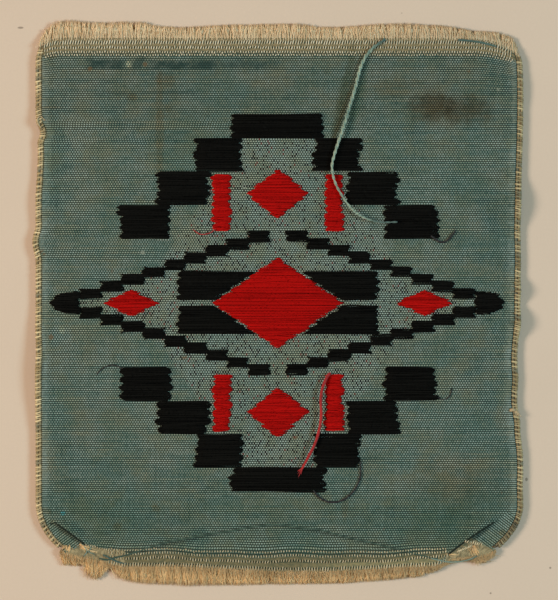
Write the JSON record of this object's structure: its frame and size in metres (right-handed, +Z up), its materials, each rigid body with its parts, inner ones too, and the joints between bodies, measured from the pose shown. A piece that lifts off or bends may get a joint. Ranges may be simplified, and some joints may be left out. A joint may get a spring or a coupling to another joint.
{
  "type": "woven formation patch",
  "caption": "Flat woven cloth patch shown reverse side up, with a stepped lozenge motif in raised floats, corded side edges, frayed fringes and a loose thread.",
  "frame": {"origin": "middle of the flat underside of the patch, on the surface it lies on", "axes": "+Z up out of the reverse side that shows, +Y towards the top edge of the patch, +X towards its right edge"},
  "size_m": [0.0655, 0.0758, 0.002],
  "materials": {
    "ground_weave": "plain weave of teal weft over cream warp, aged and lightly stained",
    "selvedge_cord": "beaded cream cotton cord",
    "fringe_fibre": "frayed cream cotton fibres",
    "black_float": "dense black weft floats",
    "red_float": "dense red weft floats",
    "pale_thread": "soft pale teal thread"
  },
  "bodies": {
    "root": {"ground_cloth": "ground_weave", "selvedge_left_outer": "selvedge_cord", "selvedge_left_inner": "selvedge_cord", "selvedge_right_outer": "selvedge_cord", "selvedge_right_inner": "selvedge_cord", "fringe_top": "fringe_fibre", "fringe_bottom": "fringe_fibre", "cap_top": "black_float", "cap_bottom": "black_float", "tier_1_top_left": "black_float", "tier_1_top_right": "black_float", "tier_1_bottom_left": "black_float", "tier_1_bottom_right": "black_float", "tier_2_top_left": "black_float", "tier_2_top_right": "black_float", "tier_2_bottom_left": "black_float", "tier_2_bottom_right": "black_float", "tier_3_top_left": "black_float", "tier_3_top_right": "black_float", "tier_3_bottom_left": "black_float", "tier_3_bottom_right": "black_float", "arm_upper_left": "black_float", "arm_upper_right": "black_float", "arm_lower_left": "black_float", "arm_lower_right": "black_float", "bar_top_left": "red_float", "bar_top_right": "red_float", "bar_bottom_left": "red_float", "bar_bottom_right": "red_float", "tip_left": "black_float", "tip_right": "black_float", "centre_lozenge": "red_float", "wedge_upper_left": "black_float", "wedge_upper_right": "black_float", "wedge_lower_left": "black_float", "wedge_lower_right": "black_float", "lozenge_top": "red_float", "lozenge_bottom": "red_float", "diamond_left": "red_float", "diamond_right": "red_float", "loose_thread": "pale_thread"}
  },
  "joints": []
}
